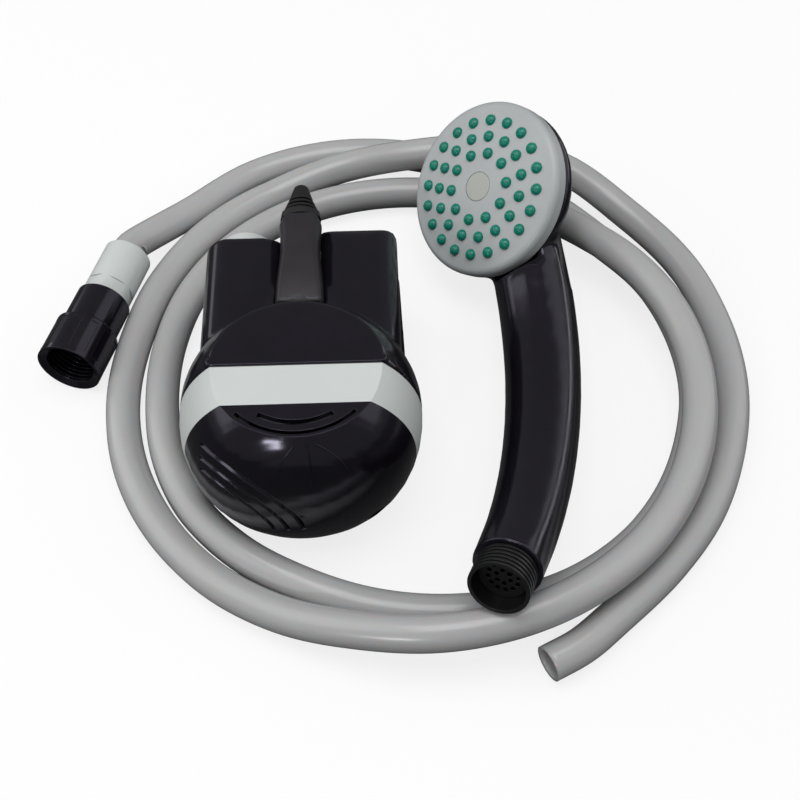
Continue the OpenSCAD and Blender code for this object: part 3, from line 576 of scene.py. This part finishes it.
@dataclass
class Studio:
    """Camera at the photo's viewing angle, soft lamps and a pale floor."""

    camera_place: tuple[float, float, float] = (0.0259, -0.29426, 0.398)
    look_down_deg: float = 54.0
    look_turn_deg: float = -2.0
    lens_mm: float = 56.66
    sensor_mm: float = 36.0
    nearest: float = 0.01
    floor_size: float = 6.0
    floor_drop: float = 0.0004
    paper_seen: float = 0.9
    paper_lit: float = 0.06
    white_seen: float = 0.8
    white_mirrored: float = 0.03
    world_light: float = 0.27

    def build(self) -> None:
        """Make the camera, the lamps, the floor and the world."""
        self.camera()
        for lamp in self.lamps():
            lamp.build()
        self.floor()
        self.world()
        bpy.context.scene.view_settings.view_transform = "Standard"

    def camera(self) -> None:
        """Make the camera at the photo's viewing angle."""
        data = bpy.data.cameras.new("camera")
        data.lens = self.lens_mm
        data.sensor_width = self.sensor_mm
        data.clip_start = self.nearest
        camera = bpy.data.objects.new("camera", data)
        camera.location = self.camera_place
        camera.rotation_euler = (math.radians(90 - self.look_down_deg), 0.0, math.radians(self.look_turn_deg))
        bpy.context.scene.collection.objects.link(camera)
        bpy.context.scene.camera = camera

    def lamps(self) -> list[Lamp]:
        """Broad lamps above and at both sides, narrow ones low behind, and a small one in front.

        Returns:
            The lamps.
        """
        return [
            Lamp("overhead", (0.0, 0.0, 1.2), 0.78, 0.78, 2.75),
            Lamp("left_side", (-0.95, 0.1, 0.75), 1.2, 1.2, 1.05),
            Lamp("right_side", (0.95, 0.1, 0.75), 1.2, 1.2, 0.6),
            Lamp("left_strip", (-0.9, 0.55, 0.2), 0.6, 0.2, 0.9),
            Lamp("right_strip", (0.85, 0.5, 0.06), 0.6, 0.1, 1.4),
            Lamp("front_window", (-0.355, -0.82, 0.406), 0.22, 0.08, 18.0),
        ]

    def floor(self) -> None:
        mesh = bpy.data.meshes.new("floor")
        shape = bmesh.new()
        bmesh.ops.create_grid(shape, x_segments=1, y_segments=1, size=self.floor_size / 2)
        bmesh.ops.translate(shape, verts=shape.verts, vec=(0.0, 0.0, -self.floor_drop))
        shape.to_mesh(mesh)
        shape.free()
        floor = bpy.data.objects.new("floor", mesh)
        bpy.context.scene.collection.objects.link(floor)
        mesh.materials.append(self.paper())

    def paper(self) -> bpy.types.Material:
        """Returns:
            The material.
        """
        material = bpy.data.materials.new("floor_paper")
        material.use_nodes = True
        tree = material.node_tree
        tree.nodes.clear()
        rays = add_node(tree, "ShaderNodeLightPath")
        seen = rays.outputs["Is Camera Ray"]
        bounced = {0: rays.outputs["Is Glossy Ray"], 1: rays.outputs["Is Transmission Ray"]}
        mirrored = add_node(tree, "ShaderNodeMath", bounced, operation="MAXIMUM")
        mirrored_white = {"Value": mirrored.outputs[0], "To Min": 0.0, "To Max": self.white_mirrored}
        share = add_node(tree, "ShaderNodeMapRange", mirrored_white).outputs["Result"]
        seen_white = {"Value": seen, "To Min": share, "To Max": self.white_seen}
        share = add_node(tree, "ShaderNodeMapRange", seen_white).outputs["Result"]
        greys = {"Value": seen, "To Min": self.paper_lit, "To Max": self.paper_seen}
        grey = add_node(tree, "ShaderNodeMapRange", greys)
        paper = add_node(tree, "ShaderNodeBsdfDiffuse", {"Color": grey.outputs["Result"]})
        glow = add_node(tree, "ShaderNodeEmission", {"Color": WHITE, "Strength": 1.0})
        mix = add_node(tree, "ShaderNodeMixShader", {0: share, 1: paper.outputs[0], 2: glow.outputs[0]})
        add_node(tree, "ShaderNodeOutputMaterial", {"Surface": mix.outputs[0]})
        return material

    def world(self) -> None:
        world = bpy.data.worlds.new("studio")
        world.use_nodes = True
        bpy.context.scene.world = world
        tree = world.node_tree
        rays = add_node(tree, "ShaderNodeLightPath")
        levels = {"Value": rays.outputs["Is Camera Ray"], "To Min": self.world_light, "To Max": 1.0}
        strength = add_node(tree, "ShaderNodeMapRange", levels)
        tree.links.new(strength.outputs["Result"], tree.nodes["Background"].inputs["Strength"])
        tree.nodes["Background"].inputs["Color"].default_value = WHITE


@dataclass
class Hose:
    """One unbroken hose in a loose coil, from the coupling's tail to its bare cut end."""

    tail_end: tuple[float, float, float] = (-0.073712, 0.062856, 0.0128)
    heading_deg: float = -17.0
    diameter: float = 0.013
    wall: float = 0.0016
    middle: tuple[float, float] = (0.046, -0.0055)
    start_deg: float = 135.0
    step_deg: float = 15.0
    fine_steps: int = 8
    sides: int = 28
    # Radius from the coil's middle and height of the axis in millimetres, every 15 degrees
    coil_mm: tuple[tuple[float, float], ...] = (
        (136.8, 8), (139.2, 6.5), (136.5, 6.5), (130, 6.5), (120.4, 6.5), (113.5, 6.5),
        (108, 6.5), (107.6, 6.5), (106, 6.5), (104.5, 6.5), (102.4, 6.5), (101.2, 6.5),
        (100, 6.5), (98.5, 6.5), (96.5, 6.5), (95, 6.5), (94.5, 6.5), (95, 6.5),
        (97.6, 6.5), (100.1, 6.5), (100.9, 6.5), (101.5, 6.5), (103.7, 6.5), (106.8, 6.5),
        (108.8, 6.5), (109.3, 6.5), (108.5, 6.5), (107.2, 6.5), (105.5, 7.4), (101.1, 13.1),
        (97.5, 18.5), (99, 20), (100.8, 20), (101.8, 20), (102.7, 20), (104, 20),
        (105.5, 20), (106.5, 20), (107.6, 20), (108.4, 19), (107.6, 14), (108.8, 8),
        (111.6, 6.5), (113.8, 6.5), (115.4, 6.5), (116.4, 6.5), (117.6, 6.5), (120.7, 6.5),
        (123.2, 6.5), (123.8, 6.5), (122.8, 11), (118.8, 18), (121, 21), (127.5, 16),
        (127.3, 8), (125.3, 6.5), (121.4, 6.5), (118.5, 6.5), (116, 6.5), (114.8, 6.5),
        (114, 6.5), (116, 6.5),
    )
    end: tuple[tuple[float, float, float], ...] = ((0.093, -0.1145, 0.0065), (0.0815, -0.1205, 0.0065))

    def route(self) -> list[Vector]:
        """Points of the hose's axis, as in the part's source.

        Returns:
            The points, from the tail to the cut end.
        """
        turn = math.radians(self.heading_deg)
        along = Vector((-math.sin(turn), math.cos(turn), 0.0))
        start = Vector(self.tail_end)
        points = [start, start + self.diameter / 2 * along]
        for i, (radius, height) in enumerate(self.coil_mm):
            angle = math.radians(self.start_deg - i * self.step_deg)
            x = self.middle[0] + radius * MM * math.cos(angle)
            y = self.middle[1] + radius * MM * math.sin(angle)
            points.append(Vector((x, y, height * MM)))
        return points + [Vector(point) for point in self.end]

    def smooth_route(self) -> list[Vector]:
        """Route with rounded corners: a smooth cubic curve through all of its points.

        Returns:
            Closely spaced points of the curve, none lower than the floor allows.
        """
        spots = self.route()
        spots = [2 * spots[0] - spots[1], *spots, 2 * spots[-1] - spots[-2]]
        fine = []
        for before, here, after, later in zip(spots, spots[1:], spots[2:], spots[3:]):
            for k in range(self.fine_steps):
                t = k / self.fine_steps
                fine.append(0.5 * (
                    2 * here
                    + (after - before) * t
                    + (2 * before - 5 * here + 4 * after - later) * t ** 2
                    + (3 * here - before - 3 * after + later) * t ** 3
                ))
        for point in fine:
            point.z = max(point.z, self.diameter / 2)
        return fine + [spots[-2]]

    def build(self) -> None:
        """Sweep a round wall along the route and give it its thickness."""
        path = self.smooth_route()
        skin = swept(path, self.diameter / 2, self.sides)
        hose = make_piece("hose_tube", skin, Body.PUMP, ("hose",), "hose_vinyl")
        wall = hose.modifiers.new("wall", "SOLIDIFY")
        wall.thickness = self.wall
        wall.offset = -1.0


@dataclass
class Pump:
    """The pump: housing with two battery lobes, pale belt, round intake cover, neck and barb."""

    # Housing and its front facet
    housing_voxel: float = 0.0009
    housing_passes: int = 3
    facet_z: float = 0.0632
    facet_low: float = -0.0346
    facet_keep: float = 0.003
    # Neck and the washer under it
    neck_voxel: float = 0.0006
    neck_passes: int = 3
    neck_z: float = 0.0513
    neck_flat: float = 0.005
    neck_curve: float = 0.024
    neck_droop: float = 0.002
    foot_edge: float = 0.004
    foot_crisp: float = 0.0015
    washer_top: float = 0.0044
    # Barb
    barb_start: float = 0.043
    barb_radii: tuple[float, ...] = (0.0066, 0.0058, 0.005)
    barb_collar_radius: float = 0.0077
    barb_collar: float = 0.0028
    barb_pitch: float = 0.0023
    barb_land: float = 0.0012
    barb_groove: float = 0.0013
    barb_slope: float = 0.000325
    barb_length: float = 0.0161
    barb_tip_radius: float = 0.0029
    barb_bore: float = 0.002
    barb_steps: int = 64
    # Round cover and its ribs
    axis_z: float = 0.0316
    body_y: float = -0.033
    body_radius: float = 0.043
    body_low: float = 0.0426
    body_full: float = 2.3
    rib_radius: float = 0.00032
    rib_sink: float = 0.00012
    rib_points: int = 9
    rib_sides: int = 12
    # Ends of each rib: angle from the top and distance along the pump from the body's widest ring
    ribs: tuple[tuple[float, float, float, float], ...] = (
        (-1.3, -0.0339, -18.7, -0.0392),
        (7.5, -0.0337, 14.4, -0.0405),
        (12.3, -0.0331, 43.5, -0.0367),
    )

    def build(self) -> None:
        """Make the pump's visible pieces."""
        self.housing()
        self.dome_ribs()
        smooth_copy("belt_skin", "belt_ring", Body.PUMP)
        smooth_copy("cover_skin", "intake_cover", Body.PUMP)
        self.neck()
        self.washer()
        self.barb()
        smooth_copy("door_skin", "battery_door", Body.PUMP)
        smooth_copy("button_skin", "power_button", Body.BUTTON)

    def housing(self) -> None:
        """Make the housing, with its edges and inner corners rounded and its facet flat at the belt."""
        shape = remeshed(joined_copy("upper_housing"), self.housing_voxel)
        softened(shape, list(shape.verts), self.housing_passes)
        for vert in shape.verts:
            near_belt = vert.co.y < self.facet_low + self.facet_keep
            if near_belt and vert.co.z > self.facet_z - self.facet_keep / 2:
                vert.co.z = self.facet_z
        make_piece("housing_shell", shape, Body.PUMP, ("upper_housing",), "gloss_black")

    def neck(self) -> None:
        """Make the neck, whose flat front curves down to a crisp foot."""
        shape = remeshed(joined_copy("outlet_neck"), self.neck_voxel)
        for vert in shape.verts:
            rise = vert.co.z - self.neck_z
            if rise > 0:
                along = max(0.0, vert.co.y)
                rise *= self.foot_height(along, self.foot_crisp) / self.foot_height(along, self.foot_edge)
                curve = max(0.0, 1 - along / self.neck_curve) ** 2
                vert.co.z = self.neck_z + rise * (1 - self.neck_droop / self.neck_flat * curve)
        softened(shape, list(shape.verts), self.neck_passes)
        slot = SLOT_OF_NODE["outlet_neck"]
        # The neck's finish has a base colour lightened as painted sheen
        make_piece("neck_skin", shape, Body.PUMP, ("outlet_neck",), slot, NECK_BLACK_PAINTED_SHEEN)

    def foot_height(self, along: float, edge: float) -> float:
        """Height of the neck's front above its axis near the foot, for a rounded edge of some radius."""
        short = max(0.0, edge - along)
        return self.neck_flat - edge + math.sqrt(edge ** 2 - short ** 2)

    def washer(self) -> None:
        """Make the washer under the neck, trimmed level with the neck's foot."""
        shape = joined_copy("neck_washer")
        for vert in shape.verts:
            vert.co.z = min(vert.co.z, self.neck_z + self.washer_top)
        make_piece("washer_skin", shape, Body.PUMP, ("neck_washer",), SLOT_OF_NODE["neck_washer"])

    def barb_profile(self) -> list[tuple[float, float]]:
        """Closed outline of the barb: a collar, rings with grooves between them, and a long tip.

        Returns:
            Radius and height of each point.
        """
        collar = self.barb_collar_radius
        profile = [(self.barb_bore, 0.0), (collar, 0.0), (collar - self.barb_slope, self.barb_collar)]
        for i, radius in enumerate(self.barb_radii):
            low = self.barb_collar + i * self.barb_pitch
            high = low + self.barb_pitch
            groove = radius - self.barb_groove
            profile += [(groove, low), (groove, high - self.barb_land)]
            profile += [(radius, high - self.barb_land), (radius - self.barb_slope, high)]
        profile += [(self.barb_tip_radius, self.barb_length), (self.barb_bore, self.barb_length)]
        return profile + profile[:1]

    def barb(self) -> None:
        """Make the stepped barb, flattened in front like the neck."""
        shape = spun(self.barb_profile(), self.barb_steps)
        place = Matrix.Translation((0.0, self.barb_start, self.neck_z))
        place = place @ Matrix.Rotation(math.radians(-90), 4, "X")
        bmesh.ops.transform(shape, matrix=place, verts=shape.verts)
        for vert in shape.verts:
            rise = max(0.0, vert.co.z - self.neck_z)
            near = max(0.0, 1 - (vert.co.y - self.barb_start) / self.barb_length)
            vert.co.z -= rise * near * (1 - self.neck_flat / self.barb_collar_radius)
        make_piece("barb_skin", shape, Body.PUMP, ("hose_barb",), SLOT_OF_NODE["hose_barb"])

    def dome_point(self, angle_deg: float, y: float) -> Vector:
        """Point just under the skin of the round cover.

        Args:
            angle_deg: angle from the top.
            y: distance along the pump from the body's widest ring.

        Returns:
            The point.
        """
        radius = self.body_radius * (1 - (abs(y) / self.body_low) ** self.body_full) ** (1 / self.body_full)
        radius -= self.rib_sink
        angle = math.radians(angle_deg)
        return Vector((radius * math.sin(angle), self.body_y + y, self.axis_z + radius * math.cos(angle)))

    def dome_ribs(self) -> None:
        """Make three faint ribs that fan out over the round cover."""
        shape = bmesh.new()
        for angle_from, y_from, angle_to, y_to in self.ribs:
            path = []
            for i in range(self.rib_points):
                t = i / (self.rib_points - 1)
                angle = angle_from + (angle_to - angle_from) * t
                path.append(self.dome_point(angle, y_from + (y_to - y_from) * t))
            add_shape(shape, swept(path, self.rib_radius, self.rib_sides))
        make_piece("dome_ribs", shape, Body.PUMP, (), "gloss_black")


@dataclass
class Coupling:
    """Threaded nut with a pale tail that the hose is pushed onto."""

    mouth: tuple[float, float, float] = (-0.0914, 0.005, 0.0128)
    heading_deg: float = -17.0
    lead_in_radius: float = 0.0118
    bore_radius: float = 0.011

    def build(self) -> None:
        """Make the nut and the tail."""
        self.nut()
        smooth_copy("tail_skin", "hose_tail", Body.PUMP)

    def nut(self) -> None:
        """Make the nut, with its mouth opened to a lead-in for the thread."""
        shape = joined_copy("coupling_nut")
        place = Matrix.Translation(self.mouth) @ Matrix.Rotation(math.radians(self.heading_deg), 4, "Z")
        along = place @ Matrix.Rotation(math.radians(-90), 4, "X")
        open_mouth(shape, along, self.bore_radius, self.lead_in_radius)
        make_piece("nut_skin", shape, Body.COUPLING, ("coupling_nut",), "gloss_black")


@dataclass
class HandShower:
    """Hand shower: curved handle, bowl, spray face with rubber nubs, and a threaded inlet."""

    # Places of the handle and the head
    place: tuple[float, float, float] = (0.069, -0.0961, 0.0336)
    turn_deg: tuple[float, float] = (-5.8, -9.6)
    roll_deg: float = -44.1
    start_deg: float = -18.7
    handle_length: float = 0.176
    bend_radius: float = 0.2
    head_tilt_deg: float = 32.8
    head_rise: float = 0.0125
    # Skin of the handle and the bowl, and the radius where they meet
    body_voxel: float = 0.001
    body_passes: int = 25
    joint_passes: int = 70
    joint_reach: float = 0.052
    joint_depth: float = 0.007
    # Handle's end at the inlet
    end_keep: float = 0.003
    end_passes: int = 14
    end_reach: float = 0.0062
    end_blend: float = 0.014
    end_fill_radius: float = 0.01
    end_fill_depth: float = 0.012
    end_height: float = 0.003
    end_round: float = 0.0006
    end_round_deg: tuple[int, ...] = (30, 60, 90)
    # Bowl's rim
    rim_fill_radius: float = 0.0335
    rim_fill_depth: float = 0.0055
    rim_keep_radius: float = 0.0354
    rim_keep_depth: float = 0.004
    rim_passes: int = 9
    # Inlet
    mouth_radius: float = 0.0092
    bore_radius: float = 0.0087
    thread_length: float = 0.014
    # Spray face and its cap
    face_radius: float = 0.0349
    face_low: float = 0.0008
    face_top: float = 0.0073
    face_edge: float = 0.0028
    edge_deg: tuple[int, ...] = (90, 80, 70, 60, 50, 40, 30, 20, 10, 0)
    face_crown: float = 0.003
    crown_points: int = 8
    face_wall: float = 0.0018
    cup_radius: float = 0.0325
    cap_radius: float = 0.0057
    cap_gap: float = 0.0002
    cap_depth: float = 0.0006
    cap_points: int = 4
    # Nubs
    nub_radius: float = 0.00232
    nub_height: float = 0.0018
    nub_counts: tuple[int, ...] = (10, 15, 20)
    nub_turns_deg: tuple[float, ...] = (85.6, 80.6, 77.3)
    nub_ring_step: float = 0.0066868
    nub_first_step: int = 2
    nub_arc_deg: tuple[int, ...] = (0, 18, 36, 54, 70)
    nub_steps: int = 16
    jet_radius: float = 0.00025
    # Steps round the face and the plugs, of which the cap has half
    steps: int = 96

    def build(self) -> None:
        """Make the hand shower's visible pieces."""
        self.body()
        self.face()
        self.cap()
        self.nubs()
        self.inlet()

    def on_shower(self) -> Matrix:
        """Place of the handle's lower end.

        Returns:
            The place, with Y along the handle.
        """
        turn_x, turn_z = (math.radians(angle) for angle in self.turn_deg)
        turned = Matrix.Rotation(turn_z, 4, "Z") @ Matrix.Rotation(turn_x, 4, "X")
        return Matrix.Translation(self.place) @ turned @ Matrix.Rotation(math.radians(self.roll_deg), 4, "Y")

    def on_inlet(self) -> Matrix:
        """Place of the threaded inlet: Z outwards, 0 at the end of the handle."""
        return self.on_shower() @ Matrix.Rotation(math.radians(90 + self.start_deg), 4, "X")

    def on_head(self) -> Matrix:
        """Place of the head.

        Returns:
            The place, with Z out of the spray face and 0 at the bowl's rim.
        """
        start = math.radians(self.start_deg)
        end = start + self.handle_length / self.bend_radius
        along = math.sin(end) - math.sin(start)
        up = math.cos(start) - math.cos(end)
        head = self.on_shower() @ Matrix.Translation(self.bend_radius * Vector((0.0, along, up)))
        head = head @ Matrix.Rotation(math.radians(self.head_tilt_deg), 4, "X")
        return head @ Matrix.Translation((0.0, 0.0, self.head_rise))

    def body(self) -> None:
        """Make the handle and the bowl, with a generous radius where they meet."""
        solid = joined_copy("shower_body")
        self.plug(solid, self.on_inlet(), self.end_fill_radius, self.end_fill_depth)
        self.plug(solid, self.on_head(), self.rim_fill_radius, self.rim_fill_depth)
        shape = remeshed(solid, self.body_voxel)
        to_head = self.on_head().inverted()
        rim = [vert for vert in shape.verts if self.on_rim(to_head @ vert.co)]
        free = [vert for vert in shape.verts if not self.on_rim(to_head @ vert.co)]
        softened(shape, free, self.end_passes)
        softened(shape, rim, self.rim_passes)
        # Draw the handle's end out over the thread
        to_inlet = self.on_inlet().inverted()
        outwards = self.on_inlet().to_3x3() @ Vector((0.0, 0.0, 1.0))
        for vert in shape.verts:
            near = max(0.0, 1 + (to_inlet @ vert.co).z / self.end_blend)
            vert.co += outwards * self.end_reach * min(1.0, near)
        # Smooth all but the rim and the last stretch of the end, and then the joint alone
        end = self.end_reach - self.end_keep
        softened(shape, [vert for vert in free if (to_inlet @ vert.co).z < end], self.body_passes)
        softened(shape, [vert for vert in shape.verts if self.on_joint(to_head @ vert.co)], self.joint_passes)
        self.trim_end(shape)
        make_piece("shower_shell", shape, Body.SHOWER, ("shower_body",), "gloss_black")

    def plug(self, solid: bmesh.types.BMesh, place: Matrix, radius: float, depth: float) -> None:
        """Fill an opening of the hollow body, so that its skin has no thin walls there.

        Args:
            solid: the body, which gets the plug.
            place: the opening's place, with Z out of it.
            radius: the plug's radius.
            depth: how far the plug goes in.
        """
        middle = place @ Matrix.Translation((0.0, 0.0, -depth / 2))
        bmesh.ops.create_cone(
            solid,
            cap_ends=True,
            segments=self.steps,
            radius1=radius,
            radius2=radius,
            depth=depth,
            matrix=middle,
        )

    def on_rim(self, local: Vector) -> bool:
        """Tell whether a point in the head's own place is on the bowl's rim."""
        return local.z > -self.rim_keep_depth and local.xy.length < self.rim_keep_radius

    def on_joint(self, local: Vector) -> bool:
        """Tell whether a point in the head's own place is where the handle meets the bowl."""
        return local.length < self.joint_reach and local.z < -self.joint_depth

    def trim_end(self, shape: bmesh.types.BMesh) -> None:
        """Cut the handle square at the inlet and close it with a small round.

        Args:
            shape: the handle and bowl, solid at the inlet's end.
        """
        middle = self.on_inlet() @ Vector((0.0, 0.0, self.end_height))
        normal = self.on_inlet().to_3x3() @ Vector((0.0, 0.0, 1.0))
        everything = shape.verts[:] + shape.edges[:] + shape.faces[:]
        cut = bmesh.ops.bisect_plane(
            shape, geom=everything, plane_co=middle, plane_no=normal, clear_outer=True
        )
        rim = [part for part in cut["geom_cut"] if isinstance(part, bmesh.types.BMEdge)]
        turned = 0.0
        for angle in map(math.radians, self.end_round_deg):
            grown = bmesh.ops.extrude_edge_only(shape, edges=rim)["geom"]
            verts = {part for part in grown if isinstance(part, bmesh.types.BMVert)}
            edges = [part for part in grown if isinstance(part, bmesh.types.BMEdge)]
            rim = [edge for edge in edges if verts.issuperset(edge.verts)]
            inwards = self.end_round * (math.cos(turned) - math.cos(angle))
            upwards = self.end_round * (math.sin(angle) - math.sin(turned))
            for vert in verts:
                out = vert.co - middle
                out -= normal * out.dot(normal)
                vert.co += normal * upwards - out.normalized() * inwards
            turned = angle
        bmesh.ops.edgeloop_fill(shape, edges=rim)
        bmesh.ops.recalc_face_normals(shape, faces=shape.faces)

    def inlet(self) -> None:
        """Make the threaded inlet, with its mouth opened wide."""
        shape = joined_copy("inlet_spigot")
        place = self.on_inlet() @ Matrix.Translation((0.0, 0.0, self.thread_length))
        open_mouth(shape, place, self.bore_radius, self.mouth_radius)
        make_piece("inlet_skin", shape, Body.SHOWER, ("inlet_spigot",), "matte_black")

    def crown(self, radius: float) -> float:
        """Height of the slightly domed spray face at a radius."""
        flat = self.face_radius - self.face_edge
        return self.face_top + self.face_crown * max(0.0, 1 - (radius / flat) ** 2)

    def face(self) -> None:
        """Make the spray face: a domed cup with a rounded edge and a seat for the cap."""
        seat = self.cap_radius + self.cap_gap
        low = self.crown(seat) - self.cap_depth
        flat = self.face_radius - self.face_edge
        profile = [(0.0, low), (seat, low), (seat, self.crown(seat))]
        for i in range(1, self.crown_points):
            radius = seat + (flat - seat) * i / self.crown_points
            profile.append((radius, self.crown(radius)))
        for angle in map(math.radians, self.edge_deg):
            height = self.face_top - self.face_edge * (1 - math.sin(angle))
            profile.append((flat + self.face_edge * math.cos(angle), height))
        floor = self.face_top - self.face_wall
        profile += [(self.face_radius, self.face_low), (self.cup_radius, self.face_low)]
        profile += [(self.cup_radius, floor), (0.0, floor)]
        shape = spun(profile, self.steps)
        bmesh.ops.transform(shape, matrix=self.on_head(), verts=shape.verts)
        make_piece("spray_face", shape, Body.SHOWER, ("face_plate",), "face_grey")

    def cap(self) -> None:
        """Make the cap in the middle of the face, level with it inside a fine groove."""
        rim = self.cap_radius
        edge = self.cap_gap / 2
        low = self.crown(rim + self.cap_gap) - self.cap_depth
        radii = [rim * i / self.cap_points for i in range(self.cap_points)]
        profile = [(radius, self.crown(radius)) for radius in radii]
        profile += [(rim - edge, self.crown(rim)), (rim, self.crown(rim) - edge), (rim, low)]
        shape = spun(profile + [(0.0, low)], self.steps // 2)
        bmesh.ops.transform(shape, matrix=self.on_head(), verts=shape.verts)
        make_piece("face_cap", shape, Body.SHOWER, ("centre_cap",), "face_grey", CAP_GREY)

    def nubs(self) -> None:
        """Make the rubber nubs in three rings, each a small dome with a jet hole."""
        shape = bmesh.new()
        for ring, (count, turn) in enumerate(zip(self.nub_counts, self.nub_turns_deg)):
            radius = (ring + self.nub_first_step) * self.nub_ring_step
            for k in range(count):
                self.nub(shape, radius, math.radians(turn + k * 360 / count))
        bmesh.ops.transform(shape, matrix=self.on_head(), verts=shape.verts)
        make_piece("spray_nubs", shape, Body.SHOWER, ("nub_mat",), "teal_rubber")

    def nub(self, shape: bmesh.types.BMesh, radius: float, angle: float) -> None:
        """Add one nub to the rings.

        Args:
            shape: mesh of all the nubs.
            radius: distance from the face's middle.
            angle: place round the ring.
        """
        profile = [(self.nub_radius, -self.face_wall / 2)]
        for step in map(math.radians, self.nub_arc_deg):
            profile.append((self.nub_radius * math.cos(step), self.nub_height * math.sin(step)))
        profile += [(self.jet_radius, self.nub_height), (self.jet_radius, self.nub_height / 2)]
        profile += [(0.0, self.nub_height / 2)]
        one = spun(profile, self.nub_steps)
        spot = (radius * math.cos(angle), radius * math.sin(angle), self.crown(radius))
        bmesh.ops.translate(one, verts=one.verts, vec=spot)
        add_shape(shape, one)


def main() -> None:
    logging.basicConfig(level=logging.INFO)
    Studio().build()
    Hose().build()
    dress_nodes()
    Pump().build()
    Coupling().build()
    HandShower().build()


if __name__ == "__main__":
    main()
